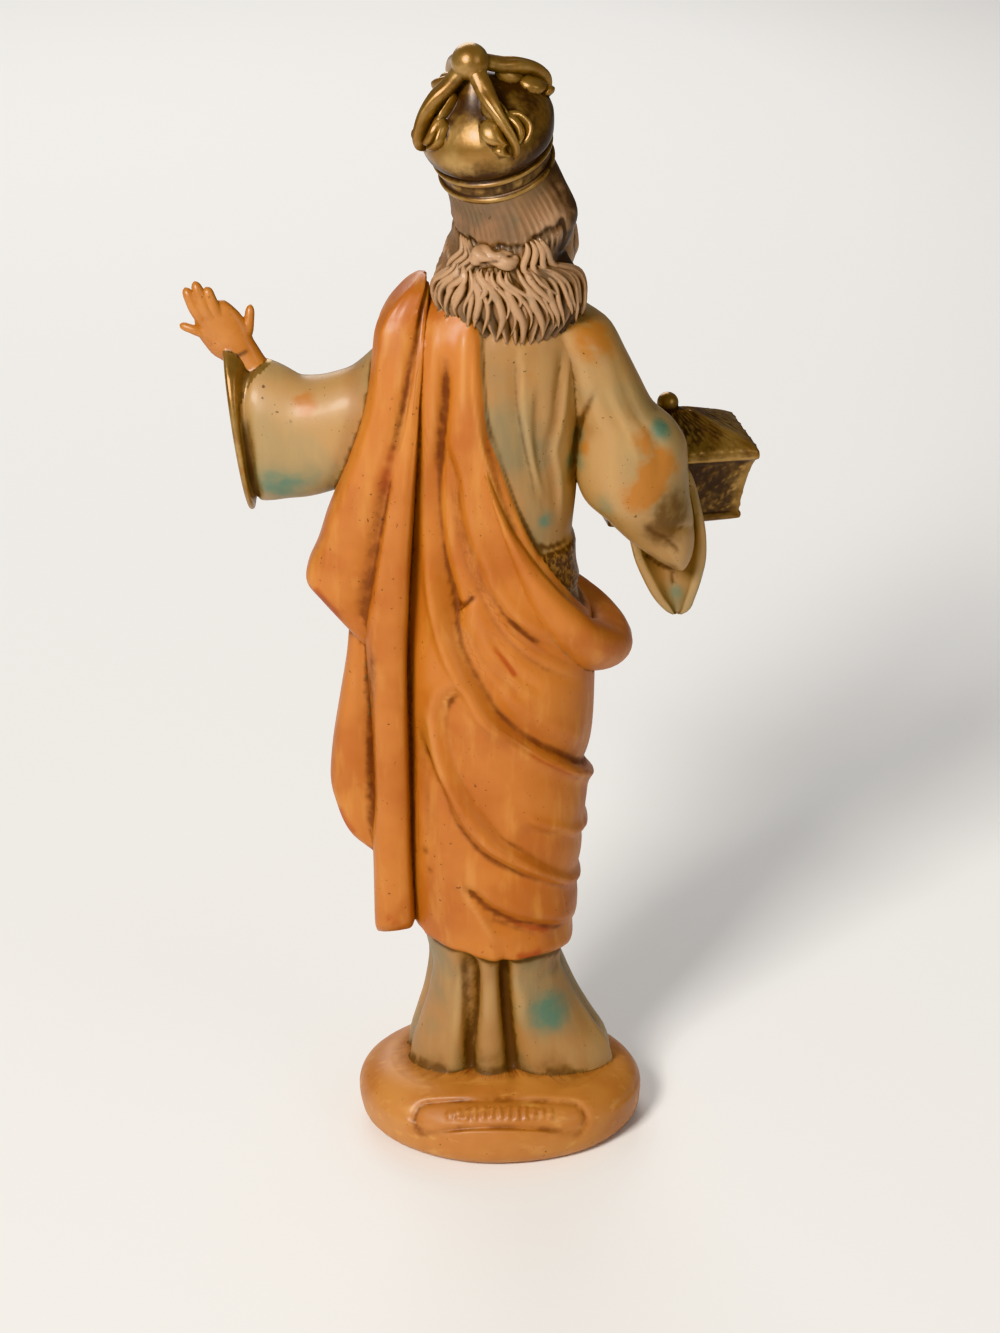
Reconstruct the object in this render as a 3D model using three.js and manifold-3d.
// A crib figure of a king seen walking in procession: long robe, mantle over the left shoulder, raised left
// hand, casket in the right hand, crown. The whole figure and its oval base are one moulded piece.
// Millimetres, +Z up, the origin in the middle of the underside; the figure faces -Y and its left is +X.
import * as THREE from "three";
import { mergeVertices } from "three/addons/utils/BufferGeometryUtils.js";
import Module from "manifold-3d";

// Overall height, from the floor to the top of the ball on the crown.
const FIGURE_HEIGHT = 125;

// Oval base: flat below, rounded edge, domed top.
const BASE_WIDTH = 31.8;
const BASE_DEPTH = 26.6;
const BASE_EDGE_HEIGHT = 3.8;
const BASE_TOP_HEIGHT = 8.2;
const PLAQUE_LENGTH = 19.6;
const PLAQUE_WIDTH = 3.7;
const PLAQUE_RECESS = 0.6;

// Cloth: the mantle's step over the robe, and the open mouth of the left cuff.
const MANTLE_THICKNESS = 1;
const CUFF_WALL = 1.1;
const CUFF_MOUTH_DEPTH = 3;

// Everything from here on is drawn in shares of the height, of which the figure holds 125.
const HEIGHT_SHARES = 125;
const SHARE = FIGURE_HEIGHT / HEIGHT_SHARES;

// Casket: a box that widens upwards, with a hipped lid and a round knob.
const CASKET_WIDTH = 16.4;
const CASKET_DEPTH = 10.5;
const CASKET_HEIGHT = 8.2;
const CASKET_TAPER = 0.8;
const CASKET_FOOT_HEIGHT = 0.8;
const CASKET_PANEL_INSET = 0.3;
const LID_HEIGHT = 3.6;
const LID_EAVE = 0.7;
const LID_EAVE_HEIGHT = 0.5;
const LID_RIDGE_SHARE = 0.3;
const KNOB_RADIUS = 1.2;

// Crown: a ring, a bulging cap, four arches with leaves, and a ball on top.
const CROWN_RING_RADIUS = 6;
const CROWN_RING_HEIGHT = 2.3;
const CROWN_BEAD = 0.3;
const CROWN_BULGE_RADIUS = 6.9;
const CROWN_CAP_HEIGHT = 11.4;
const CROWN_BALL_RADIUS = 1.9;
const CROWN_BALL_LIFT = 0.85;
const ARCH_COUNT = 4;
const ARCH_WIDTH = 1.7;
const ARCH_THICKNESS = 1.2;
const FIRST_ARCH_TURN = 29;

// How finely the curved surfaces are divided: sides around and rows along.
const BASE_SIDES = 28;
const BODY_SIDES = 45;
const BODY_ROWS = 38;
const FALL_SIDES = 10;
const FALL_ROWS = 10;
const ROLL_SIDES = 10;
const ROLL_ROWS = 20;
const SLEEVE_SIDES = 16;
const SLEEVE_ROWS = 7;
const CROWN_SIDES = 16;
const FACE_SIDES = 18;
const FACE_ROWS = 14;
const HAIR_SIDES = 32;
const HAIR_ROWS = 11;
const BEARD_SIDES = 21;
const BEARD_ROWS = 8;
// A fold is drawn no narrower than the body's facets can show.
const LEAST_FOLD_WIDTH = 1.3;
const EDGE_SOFTNESS = 0.9;

const DEGREE = Math.PI / 180;

const wasm = await Module();
wasm.setup();

function clamp(value, low, high) {
  return Math.min(Math.max(value, low), high);
}

function mix(from, to, share) {
  return from + (to - from) * share;
}

// 0 below the first limit, 1 above the second, and smooth between them.
function smoothStep(low, high, value) {
  const t = clamp((value - low) / (high - low), 0, 1);
  return t * t * (3 - 2 * t);
}

function bump(distance, width) {
  return Math.exp(-((distance / width) ** 2));
}

// A smooth line through [place, value] pairs, in rising order of place, that never swings past them.
function profile(points) {
  const rise = (i) => (points[i + 1][1] - points[i][1]) / (points[i + 1][0] - points[i][0]);
  const last = points.length - 1;
  const slopes = points.map((_, i) => {
    if (i === 0) return rise(0);
    if (i === last) return rise(last - 1);
    const before = rise(i - 1);
    const after = rise(i);
    return before * after > 0 ? (2 * before * after) / (before + after) : 0;
  });
  return (place) => {
    const p = clamp(place, points[0][0], points[last][0]);
    let i = 0;
    while (i < last - 1 && p > points[i + 1][0]) i++;
    const span = points[i + 1][0] - points[i][0];
    const t = (p - points[i][0]) / span;
    const start = points[i][1] * (1 + 2 * t) + slopes[i] * span * t;
    const end = points[i + 1][1] * (3 - 2 * t) + slopes[i + 1] * span * (t - 1);
    return start * (1 - t) ** 2 + end * t ** 2;
  };
}

// The same for stations [place, x, y, z]: a smooth path in space.
function pathThrough(stations) {
  const lines = [1, 2, 3].map((axis) => profile(stations.map((s) => [s[0], s[axis]])));
  return (place) => new THREE.Vector3(lines[0](place), lines[1](place), lines[2](place));
}

// A closed solid from vertices and triangles, turned so that its faces point out.
function solidFrom(geometry) {
  const bare = geometry.index ? geometry : geometry.clone();
  bare.deleteAttribute("normal");
  bare.deleteAttribute("uv");
  const merged = mergeVertices(bare, 1e-4);
  const triVerts = new Uint32Array(merged.index.array);
  const vertProperties = merged.attributes.position.array;
  const solid = new wasm.Manifold(new wasm.Mesh({ numProp: 3, vertProperties, triVerts }));
  if (solid.volume() > 0) return solid;
  for (let i = 0; i < triVerts.length; i += 3) {
    [triVerts[i + 1], triVerts[i + 2]] = [triVerts[i + 2], triVerts[i + 1]];
  }
  return new wasm.Manifold(new wasm.Mesh({ numProp: 3, vertProperties, triVerts }));
}

function faceNormal(a, b, c) {
  return b.clone().sub(a).cross(c.clone().sub(a)).normalize();
}

// The two triangles of a four-sided patch, split along the diagonal over which it bends less.
function splitPatch(corners, at) {
  const [a, b, c, d] = corners;
  const [pa, pb, pc, pd] = corners.map(at);
  const overAc = faceNormal(pa, pb, pc).dot(faceNormal(pa, pc, pd));
  const overBd = faceNormal(pa, pb, pd).dot(faceNormal(pb, pc, pd));
  return overAc >= overBd ? [a, b, c, a, c, d] : [a, b, d, b, c, d];
}

// A closed surface over a grid. point(around, along) gives each vertex, with both running from 0 to 1;
// the rings close on themselves, and a fan on its middle shuts each end.
function ringSolid(sides, rows, point) {
  const positions = [];
  for (let j = 0; j <= rows; j++) {
    for (let i = 0; i < sides; i++) {
      positions.push(...point(i / sides, j / rows).toArray());
    }
  }
  const faces = [];
  const at = (vertex) => new THREE.Vector3().fromArray(positions, vertex * 3);
  for (let j = 0; j < rows; j++) {
    for (let i = 0; i < sides; i++) {
      const here = j * sides + i;
      const next = j * sides + ((i + 1) % sides);
      faces.push(...splitPatch([here, next, next + sides, here + sides], at));
    }
  }
  for (const row of [0, rows]) {
    const middle = positions.length / 3;
    const sum = [0, 0, 0];
    for (let i = 0; i < sides; i++) {
      for (let axis = 0; axis < 3; axis++) sum[axis] += positions[(row * sides + i) * 3 + axis] / sides;
    }
    positions.push(...sum);
    for (let i = 0; i < sides; i++) {
      const here = row * sides + i;
      const next = row * sides + ((i + 1) % sides);
      faces.push(...(row === 0 ? [middle, next, here] : [middle, here, next]));
    }
  }
  const geometry = new THREE.BufferGeometry();
  geometry.setAttribute("position", new THREE.Float32BufferAttribute(positions, 3));
  geometry.setIndex(faces);
  return solidFrom(geometry);
}

const ACROSS = new THREE.Vector3(1, 0, 0);
const BACKWARDS = new THREE.Vector3(0, 1, 0);
const UPWARDS = new THREE.Vector3(0, 0, 1);

// Base

// Share of the base's half width and the height of each ring of its rounded side and domed top.
const BASE_RINGS = [
  [0.92, 0],
  [0.985, 0.4 * BASE_EDGE_HEIGHT],
  [1, BASE_EDGE_HEIGHT],
  [0.975, mix(BASE_EDGE_HEIGHT, BASE_TOP_HEIGHT, 0.28)],
  [0.91, mix(BASE_EDGE_HEIGHT, BASE_TOP_HEIGHT, 0.53)],
  [0.8, mix(BASE_EDGE_HEIGHT, BASE_TOP_HEIGHT, 0.73)],
  [0.6, mix(BASE_EDGE_HEIGHT, BASE_TOP_HEIGHT, 0.9)],
  [0.3, BASE_TOP_HEIGHT],
];

// The oval, with its rounded side and top drawn in by a distance.
function makeOval(drawnIn) {
  const rows = BASE_RINGS.length - 1;
  return ringSolid(BASE_SIDES, rows, (around, along) => {
    const [share, height] = BASE_RINGS[Math.round(along * rows)];
    const turn = around * 2 * Math.PI;
    return new THREE.Vector3(
      Math.sin(turn) * ((share * BASE_WIDTH) / 2 - drawnIn),
      Math.cos(turn) * ((share * BASE_DEPTH) / 2 - drawnIn),
      height - drawnIn,
    );
  });
}

// The plaque behind the heels is sunk to an even depth all along the curved slope.
function makeBase() {
  return makeOval(0).subtract(makePlaque().subtract(makeOval(PLAQUE_RECESS)));
}

// The plaque's outline, a bar with round ends, as deep as it needs to be to pass through the slope.
function makePlaque() {
  const radius = PLAQUE_WIDTH / 2;
  const straight = PLAQUE_LENGTH / 2 - radius;
  const outline = new THREE.Shape();
  outline.absarc(straight, 0, radius, -Math.PI / 2, Math.PI / 2);
  outline.absarc(-straight, 0, radius, Math.PI / 2, (3 * Math.PI) / 2);
  const reach = BASE_TOP_HEIGHT / 2;
  const bar = new THREE.ExtrudeGeometry(outline, { depth: 2 * reach, bevelEnabled: false, curveSegments: 5 });
  const [below, middle, above] = BASE_RINGS.slice(3, 6);
  const slope = Math.atan2(above[1] - below[1], ((below[0] - above[0]) * BASE_DEPTH) / 2);
  bar.translate(0, 0, -reach);
  bar.rotateX(-slope);
  bar.translate(0, (middle[0] * BASE_DEPTH) / 2, middle[1]);
  return solidFrom(bar);
}

// Robe and mantle

// Half widths of the body to its left and right, and its depth to the back and front, by height.
const LEFT_WIDTH = profile([
  [3.3, 10.2], [6.8, 10.4], [9.3, 10.2], [12.3, 9.4], [16.3, 8.3], [20.3, 7.8], [22.3, 8.2], [28.3, 9.2],
  [38.3, 9.8], [56.3, 10], [70.3, 9.6], [78.3, 9.6], [86.3, 10.2], [92.3, 10], [95.3, 8.8], [97.3, 6.6],
  [99.3, 3.6],
]);
const RIGHT_WIDTH = profile([
  [3.3, 12.4], [6.8, 12.7], [9.3, 12.2], [12.3, 10.5], [15.3, 9], [18.3, 7.8], [20.3, 7.2], [24.3, 7.9],
  [29.3, 8.5], [43.3, 9], [54.3, 9.2], [60.3, 8.9], [63.8, 8.3], [69, 7.5], [75.3, 8], [83.3, 8.7],
  [90.3, 9.2], [93.3, 8.8], [96.3, 7], [99.3, 3.6],
]);
const BACK_DEPTH = profile([
  [3.3, 6.8], [6.8, 6.7], [12.3, 6.3], [20.3, 7], [23.3, 7.4], [28.3, 8], [38.3, 8.5], [48.3, 8.3], [56.3, 8],
  [64.3, 7.2], [70.3, 6.9], [78.3, 7.4], [86.3, 7.6], [92.3, 6.9], [96.3, 5.3], [99.3, 3.2],
]);
const FRONT_DEPTH = profile([
  [3.3, 9.3], [6.8, 9.2], [12.3, 8], [20.3, 7.6], [28.3, 8], [38.3, 8.4], [48.3, 8.3], [56.3, 8], [64.3, 7.4],
  [70.3, 7.1], [78.3, 7.8], [86.3, 7.6], [92.3, 6.4], [96.3, 4.8], [99.3, 3],
]);
const SECTION_POWER = 2.2;
// The robe starts inside the base.
const ROBE_FOOT = mix(BASE_EDGE_HEIGHT, BASE_TOP_HEIGHT, 0.3) / SHARE;
const ROBE_TOP = 99.3;

// Turns are in degrees from straight behind, positive to the figure's left; +-180 is straight ahead.
// Along this many shares of the body's skin lie one degree.
const SHARE_PER_DEGREE = 0.163;

// The mantle's upper edge: from the left shoulder it crosses the back to the right hip and comes round the
// front to the left shoulder again.
const MANTLE_EDGE = profile([
  [-180, 70.3], [-135, 64.3], [-90, 62.3], [-63, 64.8], [-44, 67.9], [-27, 71.3], [-16, 74.3], [-5, 78.4],
  [3, 82.3], [7, 84.5], [10, 88.5], [12, 93.5], [18, 96.8], [24, 101.3], [112, 101.3], [126, 93.3],
  [142, 82.3], [160, 74.3], [180, 70.3],
]);
const MANTLE_HEM = profile([
  [-180, 31.3], [-135, 27.3], [-87, 22.3], [-31, 23.4], [0, 23.1], [25, 24], [58, 24.9], [100, 28.3],
  [140, 34.3], [180, 31.3],
]);

// Folds of the mantle: a groove along a line of [turn, height], with a soft swelling beside it. A positive
// swell lies to the left of the line as it is walked.
const MANTLE_FOLDS = [
  { line: [[35, 96], [32, 86.9], [39, 79.1], [37, 72.6], [32, 67.6], [26, 61.8], [17, 58.8], [6, 55.4],
    [-13, 51.2], [-34, 48.1], [-74, 44.4]], depth: 1.3, width: 1, swell: 0.8, swellWidth: 1.8 },
  { line: [[57, 51.5], [52, 47.1], [42, 43.2], [27, 40.1], [15, 38], [-3, 36.1], [-26, 33.6],
    [-64, 30.9]], depth: 1, width: 0.9, swell: 0.8, swellWidth: 1.8 },
  { line: [[22, 55.3], [30, 54.4], [33, 52.1], [29, 49.5], [21, 44.5], [6, 40.7], [-17, 37.1],
    [-46, 34.2]], depth: 0.8, width: 0.8, swell: 0.6, swellWidth: 1.5 },
  { line: [[-16, 48.8], [-41, 45.8], [-80, 41.8]], depth: -0.9, width: 1.6, swell: 0, swellWidth: 1 },
  { line: [[-21, 41.1], [-79, 35.7]], depth: 0.7, width: 0.8, swell: 0.7, swellWidth: 1.5 },
  { line: [[24, 33.7], [6, 30.7], [-14, 28.5], [-60, 26.3]], depth: 0.7, width: 0.8, swell: 0.6,
    swellWidth: 1.4 },
  { line: [[22, 93.3], [21, 86.3], [25, 78.3], [23, 72.3], [16, 67.3], [6, 64.1], [-14, 60.3], [-34, 57.1],
    [-71, 52.8]], depth: 0.9, width: 0.9, swell: 0.5, swellWidth: 1.4 },
  { line: [[100, 58.3], [120, 50.3], [150, 45.3], [180, 44.3], [215, 47.3]], depth: 1, width: 1.1,
    swell: 0.8, swellWidth: 2 },
  { line: [[105, 48.3], [130, 40.3], [160, 36.3], [190, 37.3], [225, 41.3]], depth: 0.9, width: 1.1,
    swell: 0.7, swellWidth: 2 },
  { line: [[250, 50.3], [228, 38.3], [215, 31.3]], depth: 0.8, width: 1, swell: 0.5, swellWidth: 1.6 },
];

// Folds of the robe under the mantle, by the same rule.
const ROBE_FOLDS = [
  { line: [[-9, 94.3], [-11, 87.2], [-17, 80.2], [-30, 73.8]], depth: 0.5, width: 0.6, swell: 0.25,
    swellWidth: 1.2 },
  { line: [[-46, 93.6], [-41, 87.9], [-34, 85.5], [-36, 80.7], [-46, 73]], depth: 0.5, width: 0.6,
    swell: 0.25, swellWidth: 1.2 },
  { line: [[27, 24.3], [24, 15.3], [23, 5.3]], depth: 1.4, width: 1, swell: 0, swellWidth: 1 },
  { line: [[-4, 24.3], [-5, 15.3], [-7, 5.3]], depth: 1.4, width: 1, swell: 0, swellWidth: 1 },
  { line: [[-52, 24.3], [-60, 15.3], [-66, 5.3]], depth: 0.6, width: 1.2, swell: 0, swellWidth: 1 },
  { line: [[60, 24.3], [64, 15.3], [66, 5.3]], depth: 0.6, width: 1.2, swell: 0, swellWidth: 1 },
  { line: [[150, 28.3], [146, 16.3], [144, 5.3]], depth: 1.1, width: 1.2, swell: 0, swellWidth: 1 },
  { line: [[180, 30.3], [180, 16.3], [181, 5.3]], depth: 1.2, width: 1.2, swell: 0, swellWidth: 1 },
  { line: [[212, 28.3], [216, 16.3], [218, 5.3]], depth: 1.1, width: 1.2, swell: 0, swellWidth: 1 },
  { line: [[168, 92.3], [172, 82.3], [178, 72.3]], depth: 0.6, width: 0.9, swell: 0, swellWidth: 1 },
  { line: [[204, 91.3], [198, 82.3], [190, 72.3]], depth: 0.6, width: 0.9, swell: 0, swellWidth: 1 },
];

// The waist is drawn in under a broad sash.
const SASH_LOW = 64.8;
const SASH_HIGH = 70.9;
const SASH_THICKNESS = 0.5;

function foldLine(fold) {
  const points = fold.line.map(([turn, height]) => new THREE.Vector2(turn * SHARE_PER_DEGREE, height));
  const middle = fold.line.reduce((sum, [turn]) => sum + turn, 0) / fold.line.length;
  return { ...fold, middle, points: new THREE.SplineCurve(points).getPoints(points.length * 4) };
}

// Signed distance from a place on the skin to a line, and how far along the line that is.
function besideLine(fold, turn, height) {
  const wrapped = fold.middle + ((((turn - fold.middle + 180) % 360) + 360) % 360) - 180;
  const x = wrapped * SHARE_PER_DEGREE;
  let nearest = { gap: Infinity, side: 0, along: 0 };
  for (let i = 0; i + 1 < fold.points.length; i++) {
    const from = fold.points[i];
    const step = fold.points[i + 1].clone().sub(from);
    const reach = new THREE.Vector2(x, height).sub(from);
    const t = clamp(reach.dot(step) / step.lengthSq(), 0, 1);
    const offset = reach.addScaledVector(step, -t);
    const gap = offset.length();
    if (gap < nearest.gap) {
      nearest = { gap, side: Math.sign(step.cross(offset)), along: (i + t) / (fold.points.length - 1) };
    }
  }
  return nearest;
}

function foldHeight(fold, turn, height) {
  const { gap, side, along } = besideLine(fold, turn, height);
  const fade = smoothStep(0, 0.12, along) * smoothStep(1.08, 0.85, along);
  const width = Math.max(fold.width, LEAST_FOLD_WIDTH);
  const swellPlace = width + 0.6 * fold.swellWidth;
  const swelling = fold.swell * bump(gap * side - swellPlace, fold.swellWidth);
  return fade * (swelling - fold.depth * bump(gap, width));
}

const mantleFolds = MANTLE_FOLDS.map(foldLine);
const robeFolds = ROBE_FOLDS.map(foldLine);

// 1 where the mantle lies over the robe, 0 where it doesn't.
function mantleCover(turn, height) {
  const step = 1.5;
  const slope = (MANTLE_EDGE(turn + step) - MANTLE_EDGE(turn - step)) / (2 * step * SHARE_PER_DEGREE);
  const belowEdge = (MANTLE_EDGE(turn) - height) / Math.hypot(1, slope);
  const aboveHem = height - MANTLE_HEM(turn);
  const within = (distance) => smoothStep(-EDGE_SOFTNESS, EDGE_SOFTNESS, distance);
  return within(belowEdge) * within(aboveHem);
}

// How far the skin stands out from the plain body at a place.
function clothHeight(turn, height) {
  const cover = mantleCover(turn, height);
  const sum = (folds) => folds.reduce((total, fold) => total + foldHeight(fold, turn, height), 0);
  const edges = smoothStep(0, 0.8, height - SASH_LOW) * smoothStep(0, 0.8, SASH_HIGH - height);
  const sash = SASH_THICKNESS * edges;
  const robe = (1 - cover) * (sum(robeFolds) + sash);
  const mantle = cover * (MANTLE_THICKNESS / SHARE + sum(mantleFolds));
  return robe + mantle;
}

// A point on the body at a turn and height, pushed out by so many shares.
function bodyPoint(turn, height, out) {
  const sine = Math.sin(turn * DEGREE);
  const cosine = Math.cos(turn * DEGREE);
  const width = (sine > 0 ? LEFT_WIDTH(height) : RIGHT_WIDTH(height)) + out;
  const depth = (cosine > 0 ? BACK_DEPTH(height) : FRONT_DEPTH(height)) + out;
  const along = (1 - Math.abs(sine) ** SECTION_POWER) ** (1 / SECTION_POWER);
  return new THREE.Vector3(width * sine, depth * Math.sign(cosine) * along, height);
}

// The rows of facets lie closer together over the mantle's skirt, and slant there as its folds do.
const ROW_HEIGHT = profile([[0, ROBE_FOOT], [0.12, 22], [0.72, 66], [1, ROBE_TOP]]);
const ROW_SLANT = 8;

function makeBody() {
  return ringSolid(BODY_SIDES, BODY_ROWS, (around, along) => {
    const turn = around * 360 - 180;
    const level = ROW_HEIGHT(along);
    const slant = ROW_SLANT * smoothStep(22, 42, level) * smoothStep(ROBE_TOP, 66, level);
    const height = level + slant * Math.sin(turn * DEGREE);
    return bodyPoint(turn, height, clothHeight(turn, height)).multiplyScalar(SHARE);
  });
}

// A stack of ellipses: each section has a middle and two half axes, all in shares of the height.
function stackSolid(sides, sections, relief = () => 0) {
  const rows = sections.length - 1;
  return ringSolid(sides, rows, (around, along) => {
    const { middle, wide, deep } = sections[Math.round(along * rows)];
    const turn = around * 2 * Math.PI;
    const out = 1 + relief(turn, along);
    return middle
      .clone()
      .addScaledVector(wide, Math.sin(turn) * out)
      .addScaledVector(deep, Math.cos(turn) * out)
      .multiplyScalar(SHARE);
  });
}

// Places from 0 to 1, closer together towards both ends.
function eased(count) {
  return Array.from({ length: count + 1 }, (_, i) => (1 - Math.cos((Math.PI * i) / count)) / 2);
}

function even(count) {
  return Array.from({ length: count + 1 }, (_, i) => i / count);
}

// Quarter-round ending: how far a form has filled out at a distance from its end.
function rounded(distance, radius) {
  const left = 1 - clamp(distance / radius, 0, 1);
  return Math.max(Math.sqrt(1 - left * left), 0.25);
}

const vector = (x, y, z) => new THREE.Vector3(x, y, z);

// The mantle hangs from the left shoulder in three thick folds, one behind the other. For each, by height:
// its inner and outer edge, its middle towards the back, and half its thickness.
const FALLS = [
  { // the long fold beside the back
    bottom: 25, top: 97.8, slant: -0.15,
    inner: [[24.3, 9.4], [58.3, 9.2], [68.3, 9], [80.3, 8.2], [92.3, 6.9], [97.3, 6]],
    outer: [[24.3, 13.8], [44.3, 14.3], [60.3, 15], [71.3, 13.6], [82.3, 11.4], [90.3, 9.8], [97.3, 8.8]],
    middle: [[24.3, 3.4], [43.3, 4.2], [58.3, 4.8], [78.3, 5], [90.3, 4], [97.3, 2]],
    thick: [[24.3, 3], [58.3, 2.9], [78.3, 2.7], [97.3, 2]],
  },
  { // the outer fold above, whose corner swings out below the arm
    bottom: 60.6, top: 99.5, slant: 1.3,
    inner: [[59.3, 12], [68.3, 11.2], [78.3, 9.4], [90.3, 6.6], [99.3, 4.6]],
    outer: [[59.3, 20.6], [65, 20.7], [70.3, 19.1], [75.3, 17.2], [83.7, 14.1], [91.3, 12.6], [95.3, 11.7],
      [97.8, 10.2], [99.3, 8.4]],
    middle: [[59.3, 2.2], [78.3, 2.6], [90.3, 1.8], [99.3, 0.6]],
    thick: [[59.3, 2.3], [73.3, 2.8], [88.3, 3.6], [99.3, 3]],
  },
  { // the outer fold below
    bottom: 33.3, top: 72.3, slant: 0.75,
    inner: [[33.3, 10.5], [43.3, 11.5], [58.3, 11.5], [72.3, 11]],
    outer: [[33.3, 16.2], [38.3, 17.6], [42.6, 18.3], [52.1, 17.1], [56.8, 16.4], [64.3, 15.6], [72.3, 14]],
    middle: [[33.3, 2.4], [72.3, 1.6]],
    thick: [[33.3, 2.4], [53.3, 2.8], [72.3, 2.6]],
  },
];
const FALL_ROUNDING = 2;

function makeFall({ bottom, top, slant, inner, outer, middle, thick }) {
  const innerEdge = profile(inner);
  const outerEdge = profile(outer);
  const back = profile(middle);
  const half = profile(thick);
  const sections = eased(FALL_ROWS).map((place) => {
    const height = mix(bottom, top, place);
    const full = rounded(Math.min(height - bottom, top - height), FALL_ROUNDING);
    const halfWidth = ((outerEdge(height) - innerEdge(height)) / 2) * mix(0.7, 1, full);
    const lean = slant * smoothStep(30, 0, height - bottom);
    return {
      middle: vector((outerEdge(height) + innerEdge(height)) / 2, back(height), height),
      wide: vector(halfWidth, 0, halfWidth * lean),
      deep: vector(0, half(height) * full, 0),
    };
  });
  return stackSolid(FALL_SIDES, sections);
}

// The rolled upper edge of the mantle, which thickens from the middle of the back to the right hip and
// crosses the belly to the left forearm. By turn: its height, half height and half thickness.
const ROLL_HEIGHT = profile([
  [-265, 78], [-220, 70.5], [-180, 64.8], [-135, 60.4], [-90, 59], [-65, 60.5], [-44, 63.3], [-27, 66.8],
  [-14, 70.5], [0, 75.8], [8, 80.3],
]);
const ROLL_HALF_HEIGHT = profile([
  [-265, 2.2], [-220, 3.2], [-180, 4], [-90, 3.9], [-65, 4.1], [-44, 4], [-27, 3.3], [-14, 2.4], [0, 1.5],
  [8, 0.8],
]);
const ROLL_HALF_THICKNESS = profile([
  [-265, 1.2], [-220, 2], [-180, 2.6], [-90, 4.4], [-65, 3.5], [-44, 2.7], [-27, 2], [-14, 1.5], [8, 0.8],
]);
const ROLL_START = 8;
const ROLL_END = -265;
const ROLL_OUT = 0.8;

function makeRoll() {
  const sections = even(ROLL_ROWS).map((place) => {
    const turn = mix(ROLL_START, ROLL_END, place);
    const height = ROLL_HEIGHT(turn);
    const outwards = bodyPoint(turn, height, 1).sub(bodyPoint(turn, height, 0)).normalize();
    return {
      middle: bodyPoint(turn, height, ROLL_OUT),
      wide: UPWARDS.clone().multiplyScalar(ROLL_HALF_HEIGHT(turn)),
      deep: outwards.multiplyScalar(ROLL_HALF_THICKNESS(turn)),
    };
  });
  return stackSolid(ROLL_SIDES, sections);
}

// Left arm, raised to the side, in a wide sleeve with a banded cuff

const LEFT_SLEEVE = pathThrough([
  [0, 3, 0, 88.3], [0.3, 11, 0.3, 85.5], [0.5, 16, 0.2, 82.4], [0.75, 21.6, -0.8, 81.1],
  [1, 26.9, -2, 81.7],
]);
const LEFT_SLEEVE_HEIGHT = profile([[0, 6.5], [0.3, 7.2], [0.5, 6.4], [0.75, 6.8], [1, 8.8]]);
const LEFT_SLEEVE_DEPTH = profile([[0, 5], [0.3, 4.8], [0.5, 4.2], [0.75, 4.4], [1, 5]]);
const LEFT_SLEEVE_SLANT = profile([[0, 0], [0.5, 0], [0.8, 0.06], [1, 0.2]]);
const CUFF_START = 0.93;
const CUFF_LIFT = 0.4;

function sleeveSection(place, extra, inwards) {
  const height = LEFT_SLEEVE_HEIGHT(place) + extra;
  return {
    middle: LEFT_SLEEVE(place).add(vector(-inwards, 0, 0)),
    wide: vector(height * LEFT_SLEEVE_SLANT(place), 0, height),
    deep: vector(0, LEFT_SLEEVE_DEPTH(place) + extra, 0),
  };
}

function makeLeftSleeve() {
  const wall = CUFF_WALL / SHARE;
  const sections = [
    ...even(SLEEVE_ROWS).map((place) => sleeveSection(place * (CUFF_START - 0.05), 0, 0)),
    sleeveSection(CUFF_START - 0.01, -0.35, 0),
    sleeveSection(CUFF_START, CUFF_LIFT, 0),
    sleeveSection(0.99, CUFF_LIFT, 0),
    sleeveSection(1, CUFF_LIFT - 0.3, 0),
    sleeveSection(1, CUFF_LIFT - wall, 0),
    sleeveSection(1, CUFF_LIFT - wall - 0.4, CUFF_MOUTH_DEPTH / SHARE),
  ];
  return stackSolid(SLEEVE_SIDES, sections);
}

// A tapering limb of round-ended ellipses between stations [x, y, z, half width, half thickness], whose
// width lies along a given direction.
function fingerSolid(sides, stations, across) {
  const along = stations.map((s) => vector(s[0], s[1], s[2]));
  const way = along[along.length - 1].clone().sub(along[0]).normalize();
  const side = across.clone().addScaledVector(way, -across.dot(way)).normalize();
  const over = way.clone().cross(side);
  const sections = stations.map((s, i) => ({
    middle: along[i],
    wide: side.clone().multiplyScalar(s[3]),
    deep: over.clone().multiplyScalar(s[4]),
  }));
  return stackSolid(sides, sections);
}

// A finger from its knuckle to its round tip.
function straightFinger(from, to, radius, across) {
  const start = vector(...from);
  const end = vector(...to);
  const stations = [[0, 1], [0.6, 1], [0.9, 0.85], [1, 0.35]].map(([place, share]) => {
    const at = start.clone().lerp(end, place);
    return [at.x, at.y, at.z, radius * share, radius * share];
  });
  return fingerSolid(6, stations, across);
}

const LEFT_HAND_ACROSS = vector(0.85, 0, -0.53);

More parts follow.
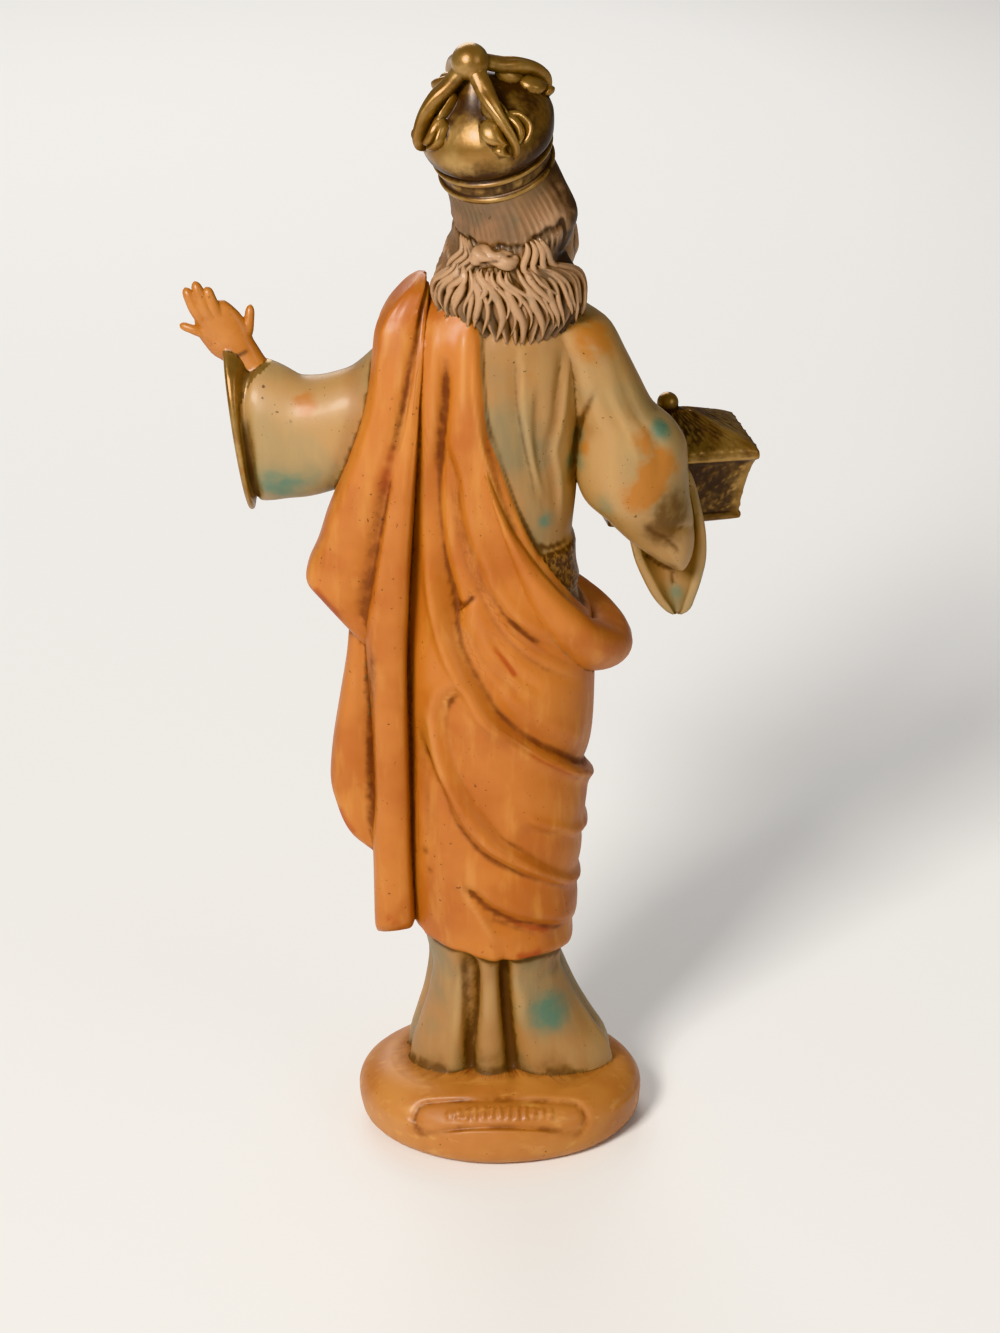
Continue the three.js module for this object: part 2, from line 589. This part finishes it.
function makeLeftHand() {
  const palm = fingerSolid(9, [
    [21, -1.2, 83.3, 2.2, 2.1],
    [25.5, -1.5, 87.6, 1.9, 1.6],
    [27.1, -1.8, 90, 1.95, 1.3],
    [28.1, -1.9, 91.3, 2.5, 1.2],
    [29, -2, 92.7, 2.55, 1.1],
    [29.9, -2.1, 94.2, 2.1, 0.9],
    [30.4, -2.2, 95, 1.5, 0.5],
  ], LEFT_HAND_ACROSS);
  const fingers = [
    [[28.6, -2, 93.2], [30.4, -1.7, 97]],
    [[29.4, -2, 92.8], [31.6, -1.7, 97.6]],
    [[30.2, -2, 92.4], [32.6, -1.8, 97]],
    [[30.2, -2, 91.5], [33.3, -1.9, 92.8]],
    [[26.9, -2.1, 90.3], [25.9, -2.3, 95]],
  ].map(([from, to], i) => straightFinger(from, to, i < 3 ? 0.66 : 0.52, LEFT_HAND_ACROSS));
  return [palm, ...fingers];
}

// Right arm, in a sleeve that hangs open below the elbow, and hand under the casket

// By height: the sleeve's middle, half width and half depth, down to the pointed fold under the elbow.
const RIGHT_SLEEVE = [
  [95.8, -5.5, 0, 3.4, 3.6], [93.8, -7.2, 0.2, 4.5, 4.4], [90.8, -8.9, 0.3, 4.3, 4.7],
  [88.3, -10, 0.5, 4.4, 4.8], [85.3, -11.3, 0.8, 4.6, 4.8], [83.3, -12.8, 1, 5.3, 4.8],
  [80.8, -13.5, 1.1, 5.9, 5], [77.8, -13.8, 1.2, 5.9, 5.1], [75.3, -14.3, 1.1, 5.7, 5],
  [72.8, -15.7, 0.8, 4.8, 4.5], [70.3, -17, 0.7, 3.7, 3.6], [68.3, -18.2, 0.9, 2.2, 2.4],
  [66.9, -19, 1.2, 0.7, 1],
];
// The same for the hanging part, a pouch whose hollow side is turned to the back.
const SLEEVE_POUCH = [
  [60.2, -19, -1.6, 0.5, 0.9], [60.8, -19, -1.2, 1.3, 1.8], [62.3, -18.7, -0.8, 2.2, 2.8],
  [64.8, -18.4, -0.3, 3.1, 3.8], [67.8, -18, 0, 3.9, 4.8], [71.3, -17.5, 0, 4.3, 5.6],
  [74.8, -17, 0, 4, 5.6], [77.3, -16.6, 0, 3.4, 5],
];
const POUCH_WALL = 0.75;
const POUCH_HOLLOW = 0.62;

function makeRightSleeve() {
  const sections = RIGHT_SLEEVE.map(([height, x, y, width, depth]) => ({
    middle: vector(x, y, height),
    wide: vector(width, 0, 0),
    deep: vector(0, depth, 0),
  }));
  return stackSolid(SLEEVE_SIDES, sections);
}

function makePouch() {
  const rows = SLEEVE_POUCH.length - 1;
  return ringSolid(SLEEVE_SIDES, rows, (around, along) => {
    const [height, x, y, width, depth] = SLEEVE_POUCH[Math.round(along * rows)];
    const turn = around * 2 * Math.PI;
    const inside = around > 0.5;
    const reach = inside ? Math.max(width - POUCH_WALL, 0.4 * width) : width;
    const deep = inside ? -depth * POUCH_HOLLOW : depth;
    return vector(x + reach * Math.cos(turn), y - deep * Math.sin(turn), height).multiplyScalar(SHARE);
  });
}

function makeRightForearm() {
  const sleeve = fingerSolid(12, [
    [-14, 0, 76.8, 4.6, 4.4],
    [-15.4, -3.5, 74.5, 4.4, 4.7],
    [-16.6, -6.4, 72.1, 4.2, 5.2],
    [-17.2, -8, 70.7, 4.3, 5.4],
  ], ACROSS);
  const wrist = fingerSolid(8, [
    [-16.4, -5, 71.3, 2.4, 2],
    [-17.4, -9, 68.6, 2.2, 1.8],
    [-17.9, -11.5, 67.5, 3, 1.4],
    [-18.2, -14.5, 67.3, 3.1, 1.2],
    [-18.4, -17, 67.9, 2.9, 1.1],
  ], ACROSS);
  const fingers = [-2.4, -0.8, 0.8, 2.4].map((side) => {
    const tip = [-18.7 + side, -18.4, 71.7 - 0.3 * Math.abs(side)];
    return straightFinger([-18.3 + side, -16.4, 67.7], tip, 0.85, ACROSS);
  });
  return [sleeve, wrist, ...fingers];
}

// Head, hair and beard stand on the leaning axis of the neck

const HEAD_UP = vector(0.2, 0.37, 0.907).normalize();
const FACING_TURN = 27;
const FACING = (() => {
  const level = vector(-Math.sin(FACING_TURN * DEGREE), -Math.cos(FACING_TURN * DEGREE), 0);
  return level.addScaledVector(HEAD_UP, -level.dot(HEAD_UP)).normalize();
})();
const HEAD_LEFT = HEAD_UP.clone().cross(FACING);
// The crown sits so that the top of its ball is the figure's full height.
const BALL_MIDDLE = CROWN_CAP_HEIGHT + CROWN_BALL_LIFT * CROWN_BALL_RADIUS;
const CROWN_SEAT = vector(0.35, 1.9, HEIGHT_SHARES - CROWN_BALL_RADIUS - HEAD_UP.z * BALL_MIDDLE);

// A point by its distances to the head's left, forwards and up from the middle of the crown's seat.
function headPoint(left, forwards, up) {
  return CROWN_SEAT.clone()
    .addScaledVector(HEAD_LEFT, left)
    .addScaledVector(FACING, forwards)
    .addScaledVector(HEAD_UP, up);
}

// The face by height below the crown's seat: how far it reaches forwards, and half its width.
const FACE_FRONT = profile([
  [-12, 2.4], [-11, 4.6], [-10.2, 5.4], [-8.6, 5.6], [-7, 5.8], [-5, 5.7], [-3.6, 5.4], [-2.4, 5.8],
  [-1, 5.7], [1, 5.3],
]);
const FACE_SIDE = profile([[-12, 1.8], [-10.5, 3.4], [-8, 4.4], [-5, 5], [-2, 5.2], [1, 5.2]]);
const FACE_BOTTOM = -12;
const FACE_TOP = 1;
const NOSE_TOP = -3;
const NOSE_TIP = -6.4;
const NOSE_BOTTOM = -7;
const NOSE_LENGTH = 1.6;
const EYE_HEIGHT = -3.7;
const EYE_SPACING = 1.85;

// What the features add to the plain form of the face.
function faceRelief(left, up) {
  const bridge = clamp((NOSE_TOP - up) / (NOSE_TOP - NOSE_TIP), 0, 1);
  const under = smoothStep(NOSE_BOTTOM - 0.3, NOSE_BOTTOM + 0.3, up);
  const nose = NOSE_LENGTH * bridge * under * bump(left, 0.75);
  const eye = Math.hypot(Math.abs(left) - EYE_SPACING, up - EYE_HEIGHT);
  const socket = -0.75 * bump(eye, 1.15) + 0.35 * bump(eye, 0.6);
  const brow = 0.3 * bump(Math.abs(left) - EYE_SPACING, 1.4) * bump(up - EYE_HEIGHT - 1.2, 0.5);
  const cheek = 0.3 * bump(Math.abs(left) - 2.6, 1.2) * bump(up + 5.7, 1.2);
  const whiskers = 0.6 * smoothStep(2.8, 4, Math.abs(left)) * smoothStep(-4.5, -6.5, up);
  const lips = 0.35 * bump(left, 1.2) * (bump(up + 8.3, 0.35) + bump(up + 9.2, 0.35));
  return nose + socket + brow + cheek + whiskers + lips;
}

function makeFace() {
  return ringSolid(FACE_SIDES, FACE_ROWS, (around, along) => {
    const turn = around * 2 * Math.PI - Math.PI;
    const up = mix(FACE_BOTTOM, FACE_TOP, along);
    const left = FACE_SIDE(up) * Math.sin(turn);
    const front = Math.cos(turn);
    const relief = front > 0 ? faceRelief(left, up) * smoothStep(0, 0.5, front) : 0;
    const reach = front > 0 ? FACE_FRONT(up) * front ** 0.9 + relief : 4 * front;
    return headPoint(left, reach, up).multiplyScalar(SHARE);
  });
}

// The hair by station along the head: 0 under the crown, 1 at the tips of the locks on the back.
const HAIR_LINE = pathThrough([
  [0, 0.5, 2.2, 111.7], [0.3, -0.9, 0.9, 106.7], [0.55, -0.8, 1, 102.1], [0.8, -0.8, 1.6, 98.1],
  [1, -1.5, 2.3, 94.1],
]);
const HAIR_SIDE = profile([
  [0, 5.6], [0.12, 6], [0.35, 6.5], [0.55, 6.5], [0.7, 7.2], [0.85, 7.7], [1, 4.4],
]);
const HAIR_BACK = profile([[0, 5.3], [0.12, 5.9], [0.35, 6.6], [0.55, 6.6], [0.8, 6.2], [1, 3.8]]);
const HAIR_FRONT = profile([[0, 4.5], [0.3, 2.6], [0.6, 2.2], [1, 2]]);
const LOCK_COUNT = 24;
const CURL_STATION = 0.56;

function makeHair() {
  return ringSolid(HAIR_SIDES, HAIR_ROWS, (around, along) => {
    const turn = around * 2 * Math.PI - Math.PI;
    const level = smoothStep(0.1, 0.75, along);
    const side = HEAD_LEFT.clone().lerp(ACROSS, level).normalize();
    const back = FACING.clone().negate().lerp(BACKWARDS, level).normalize();
    const wave = 2.4 * Math.sin(along * 7 + 2 * turn);
    const locks = 0.32 * smoothStep(0.05, 0.5, along) * Math.sin(LOCK_COUNT * 0.5 * turn + wave);
    const curl = 0.7 * bump(along - CURL_STATION, 0.07) * bump(turn, 0.45);
    const under = -0.5 * bump(along - CURL_STATION - 0.12, 0.06) * bump(turn, 0.7);
    const out = locks + curl + under;
    const depth = Math.cos(turn) > 0 ? HAIR_BACK(along) : HAIR_FRONT(along);
    const tip = 0.9 * Math.sin(LOCK_COUNT * 0.5 * turn) * smoothStep(0.8, 1, along);
    return HAIR_LINE(along)
      .addScaledVector(side, Math.sin(turn) * (HAIR_SIDE(along) + out))
      .addScaledVector(back, Math.cos(turn) * (depth + out))
      .addScaledVector(UPWARDS, tip)
      .multiplyScalar(SHARE);
  });
}

// The beard from the jaw to its point on the breast: station, middle, half width and half depth.
const BEARD_LINE = pathThrough([
  [0, -2.6, -3.7, 104.7], [0.35, -3.3, -5.2, 101.6], [0.7, -3.5, -6.2, 97.6], [1, -3.2, -6.4, 93.8],
]);
const BEARD_WIDTH = profile([[0, 4.3], [0.2, 5], [0.45, 5], [0.7, 4.3], [0.9, 3], [1, 1.5]]);
const BEARD_DEPTH = profile([[0, 2.2], [0.3, 3.1], [0.65, 2.9], [0.9, 2], [1, 1]]);
const BEARD_LOCKS = 7;

function makeBeard() {
  return ringSolid(BEARD_SIDES, BEARD_ROWS, (around, along) => {
    const turn = around * 2 * Math.PI;
    const wave = Math.sin(BEARD_LOCKS * turn + 4 * along);
    const locks = 0.3 * wave * smoothStep(0.1, 0.4, along);
    return BEARD_LINE(along)
      .addScaledVector(HEAD_LEFT, Math.sin(turn) * (BEARD_WIDTH(along) + locks))
      .addScaledVector(FACING, Math.cos(turn) * (BEARD_DEPTH(along) + locks))
      .addScaledVector(UPWARDS, 0.7 * wave * smoothStep(0.8, 1, along))
      .multiplyScalar(SHARE);
  });
}

// The two halves of the moustache droop from under the nose over the beard: left, forwards, up and radius.
const MOUSTACHE = [
  [0.2, 5.4, -7.4, 0.8], [1.3, 5.6, -7.9, 0.95], [2.6, 5.1, -9, 0.85], [3.5, 4.4, -10.6, 0.3],
];

function makeMoustache() {
  return [-1, 1].map((side) => {
    const stations = MOUSTACHE.map(([left, forwards, up, radius]) => [
      ...headPoint(side * left, forwards, up).toArray(),
      radius,
      radius,
    ]);
    return fingerSolid(6, stations, FACING);
  });
}

function makeNeck() {
  const stations = [
    [0, 0.5, 90.3, 4.5], [-1.2, -0.8, 97.3, 4.4], [-1.6, -1, 102.3, 4], [-0.8, 0.6, 106.3, 3.8],
  ];
  const sections = stations.map(([x, y, z, radius]) => ({
    middle: vector(x, y, z),
    wide: vector(radius, 0, 0),
    deep: vector(0, radius, 0),
  }));
  return stackSolid(8, sections);
}

// Crown

// Half widths and heights of the ring and the bulging cap, from the axis out and back to it.
function crownOutline() {
  const ring = CROWN_RING_RADIUS;
  const rim = CROWN_RING_RADIUS + CROWN_BEAD;
  const recess = CROWN_RING_RADIUS - CROWN_BEAD;
  const top = CROWN_RING_HEIGHT;
  const bulge = CROWN_BULGE_RADIUS;
  const capAt = (share) => mix(top, CROWN_CAP_HEIGHT, share);
  const points = [
    [0, -CROWN_BEAD], [recess, -CROWN_BEAD], [ring, 0], [ring, CROWN_BEAD], [recess, 2 * CROWN_BEAD],
    [recess, top - 2 * CROWN_BEAD], [rim, top - CROWN_BEAD], [rim, top], [recess, top + CROWN_BEAD],
    [0.97 * bulge, capAt(0.14)], [bulge, capAt(0.3)], [0.93 * bulge, capAt(0.48)],
    [0.72 * bulge, capAt(0.66)], [0.4 * bulge, capAt(0.8)], [0.17 * bulge, capAt(0.95)], [0, capAt(1.05)],
  ];
  return points.map(([x, y]) => new THREE.Vector2(x * SHARE, y * SHARE));
}

// A ball with its pole straight up, by its middle and radius in shares.
function makeBall(middle, radius, sides) {
  const ball = new THREE.SphereGeometry(radius * SHARE, sides, sides - 4);
  ball.rotateX(Math.PI / 2);
  ball.translate(middle.x * SHARE, middle.y * SHARE, middle.z * SHARE);
  return solidFrom(ball);
}

// The arches rise from the ring, swing out past the cap and draw together under the ball.
const ARCH_LINE = new THREE.SplineCurve([
  new THREE.Vector2(6, 1.6),
  new THREE.Vector2(7.1, 3.2),
  new THREE.Vector2(7.3, 5.2),
  new THREE.Vector2(6.4, 7.4),
  new THREE.Vector2(4.6, 9.4),
  new THREE.Vector2(2.8, 11),
  new THREE.Vector2(1.2, 12.6),
]);

// Turns on the crown are counted from behind, positive to the figure's right.
const CROWN_BACK = BACKWARDS.clone().addScaledVector(HEAD_UP, -HEAD_UP.y).normalize();
const CROWN_RIGHT = HEAD_UP.clone().cross(CROWN_BACK);

function crownOutwards(turn) {
  return CROWN_BACK.clone().multiplyScalar(Math.cos(turn)).addScaledVector(CROWN_RIGHT, Math.sin(turn));
}

function crownSideways(turn) {
  return CROWN_RIGHT.clone().multiplyScalar(Math.cos(turn)).addScaledVector(CROWN_BACK, -Math.sin(turn));
}

function crownPoint(turn, out, up) {
  return CROWN_SEAT.clone().addScaledVector(crownOutwards(turn), out).addScaledVector(HEAD_UP, up);
}

function makeArch(turn) {
  const sections = even(7).map((place) => {
    const at = ARCH_LINE.getPoint(place);
    const tangent = ARCH_LINE.getTangent(place);
    return {
      middle: crownPoint(turn, at.x, at.y),
      wide: crownSideways(turn).multiplyScalar((ARCH_WIDTH / 2) * mix(1.1, 0.7, place)),
      deep: crownOutwards(turn)
        .multiplyScalar(tangent.y)
        .addScaledVector(HEAD_UP, -tangent.x)
        .multiplyScalar(ARCH_THICKNESS / 2),
    };
  });
  return stackSolid(6, sections);
}

// A leaf at the foot of an arch: a flat drop that lies on the cap and curls out at its tip. Stations are
// its distance out, its height and its half width.
const LEAF_STATIONS = [[6.2, 2.4, 0.6], [6.8, 3.8, 1.4], [6.9, 5.6, 1.3], [6.5, 7.2, 0.3]];
const LEAF_HALF_THICKNESS = 0.6;
const LEAF_SPREAD = 0.27;

function makeLeaf(turn) {
  const sections = LEAF_STATIONS.map(([out, up, halfWidth]) => ({
    middle: crownPoint(turn, out, up),
    wide: crownSideways(turn).multiplyScalar(halfWidth),
    deep: crownOutwards(turn).multiplyScalar(LEAF_HALF_THICKNESS),
  }));
  return stackSolid(6, sections);
}

function makeCrown() {
  const turned = new THREE.LatheGeometry(crownOutline(), CROWN_SIDES);
  const place = new THREE.Matrix4().makeBasis(CROWN_RIGHT, HEAD_UP, CROWN_BACK);
  place.setPosition(CROWN_SEAT.clone().multiplyScalar(SHARE));
  const ball = makeBall(crownPoint(0, 0, BALL_MIDDLE), CROWN_BALL_RADIUS, 12);
  const pieces = [solidFrom(turned.applyMatrix4(place)), ball];
  for (let i = 0; i < ARCH_COUNT; i++) {
    const turn = FIRST_ARCH_TURN * DEGREE + (i * 2 * Math.PI) / ARCH_COUNT;
    pieces.push(makeArch(turn));
    for (const side of [-1, 1]) pieces.push(makeLeaf(turn + side * LEAF_SPREAD));
  }
  return pieces;
}

// Casket

const CASKET_PLACE = vector(-18.1, -12.7, 67.9);
const CASKET_TURN = 11;

// Half width, half depth and height of each level, from the bottom to the lid's ridge.
function casketLevels() {
  const width = CASKET_WIDTH / 2;
  const depth = CASKET_DEPTH / 2;
  const foot = CASKET_TAPER;
  const inset = CASKET_PANEL_INSET;
  const top = CASKET_HEIGHT;
  return [
    [width - foot, depth - foot, 0],
    [width - foot, depth - foot, CASKET_FOOT_HEIGHT],
    [width - foot - inset, depth - foot - inset, CASKET_FOOT_HEIGHT + inset],
    [width - inset, depth - inset, top - 2 * LID_EAVE_HEIGHT],
    [width + LID_EAVE, depth + LID_EAVE, top - LID_EAVE_HEIGHT],
    [width + LID_EAVE, depth + LID_EAVE, top],
    [width * LID_RIDGE_SHARE, depth * 0.1, top + LID_HEIGHT],
  ];
}

function makeCasket() {
  const levels = casketLevels();
  const rows = levels.length - 1;
  const turnTo = (point) => point.applyAxisAngle(UPWARDS, CASKET_TURN * DEGREE).add(CASKET_PLACE);
  const box = ringSolid(4, rows, (around, along) => {
    const [width, depth, height] = levels[Math.round(along * rows)];
    const corner = Math.round(around * 4);
    const side = corner === 0 || corner === 3 ? 1 : -1;
    const back = corner < 2 ? 1 : -1;
    return turnTo(vector(side * width, back * depth, height)).multiplyScalar(SHARE);
  });
  const top = turnTo(vector(0, 0, CASKET_HEIGHT + LID_HEIGHT + 0.6 * KNOB_RADIUS));
  return [box, makeBall(top, KNOB_RADIUS, 10)];
}

// The whole figure in one piece

function joined(solids) {
  return solids.reduce((sum, solid) => sum.add(solid));
}

// Where surfaces cross, joining leaves thin slivers. Each edge shorter than this shrinks to one of its ends.
const SHORTEST_EDGE = 0.3;
const LEAST_NORMAL_MATCH = 0.5;

// Moving vertex "gone" onto vertex "kept" is safe where they share just two neighbours, so that the surface
// stays closed, and where no face that stays turns over.
function canShrink(kept, gone, points, facesOf, neighboursOf) {
  const shared = [...neighboursOf(kept)].filter((vertex) => neighboursOf(gone).has(vertex));
  if (shared.length !== 2) return false;
  for (const face of facesOf[gone]) {
    if (face.includes(kept)) continue;
    const before = faceNormal(...face.map((vertex) => points[vertex]));
    const after = faceNormal(...face.map((vertex) => points[vertex === gone ? kept : vertex]));
    if (before.lengthSq() > 0.5 && before.dot(after) < LEAST_NORMAL_MATCH) return false;
    if (after.lengthSq() < 0.5) return false;
  }
  return true;
}

// One pass over the surface: returns the faces that are left.
function shrinkPass(points, faces) {
  const facesOf = points.map(() => []);
  for (const face of faces) {
    for (const vertex of face) facesOf[vertex].push(face);
  }
  const neighboursOf = (vertex) => new Set(facesOf[vertex].flat().filter((other) => other !== vertex));
  const touched = new Set();
  const dropped = new Set();
  for (const face of faces) {
    for (let i = 0; i < 3; i++) {
      const kept = face[i];
      const gone = face[(i + 1) % 3];
      const busy = [kept, gone, ...neighboursOf(kept), ...neighboursOf(gone)].some((v) => touched.has(v));
      if (busy || points[kept].distanceTo(points[gone]) > SHORTEST_EDGE) continue;
      if (!canShrink(kept, gone, points, facesOf, neighboursOf)) continue;
      for (const vertex of [kept, gone, ...neighboursOf(kept), ...neighboursOf(gone)]) touched.add(vertex);
      for (const other of facesOf[gone]) {
        if (other.includes(kept)) dropped.add(other);
        else other[other.indexOf(gone)] = kept;
      }
    }
  }
  return faces.filter((face) => !dropped.has(face));
}

function withoutSlivers(solid) {
  const { vertProperties, triVerts } = solid.getMesh();
  const points = [];
  for (let i = 0; i < vertProperties.length; i += 3) {
    points.push(vector(vertProperties[i], vertProperties[i + 1], vertProperties[i + 2]));
  }
  let faces = [];
  for (let i = 0; i < triVerts.length; i += 3) {
    faces.push([triVerts[i], triVerts[i + 1], triVerts[i + 2]]);
  }
  let before = Infinity;
  while (faces.length < before) {
    before = faces.length;
    faces = shrinkPass(points, faces);
  }
  return { points, faces };
}

function meshOf({ points, faces }, name, material) {
  const geometry = new THREE.BufferGeometry().setFromPoints(points);
  geometry.setIndex(faces.flat());
  geometry.computeVertexNormals();
  const mesh = new THREE.Mesh(geometry, material);
  mesh.name = name;
  return mesh;
}

const figure = joined([
  makeBase(),
  makeBody(),
  ...FALLS.map(makeFall),
  makeRoll(),
  makeLeftSleeve(),
  ...makeLeftHand(),
  makeRightSleeve(),
  makePouch(),
  ...makeRightForearm(),
  makeNeck(),
  makeFace(),
  makeHair(),
  makeBeard(),
  ...makeMoustache(),
  ...makeCrown(),
  ...makeCasket(),
]);

const paintedPlastic = new THREE.MeshStandardMaterial({ color: 0xb9793b, roughness: 0.42, metalness: 0 });

const part = new THREE.Group();
part.add(meshOf(withoutSlivers(figure), "king_figure", paintedPlastic));

export default part;
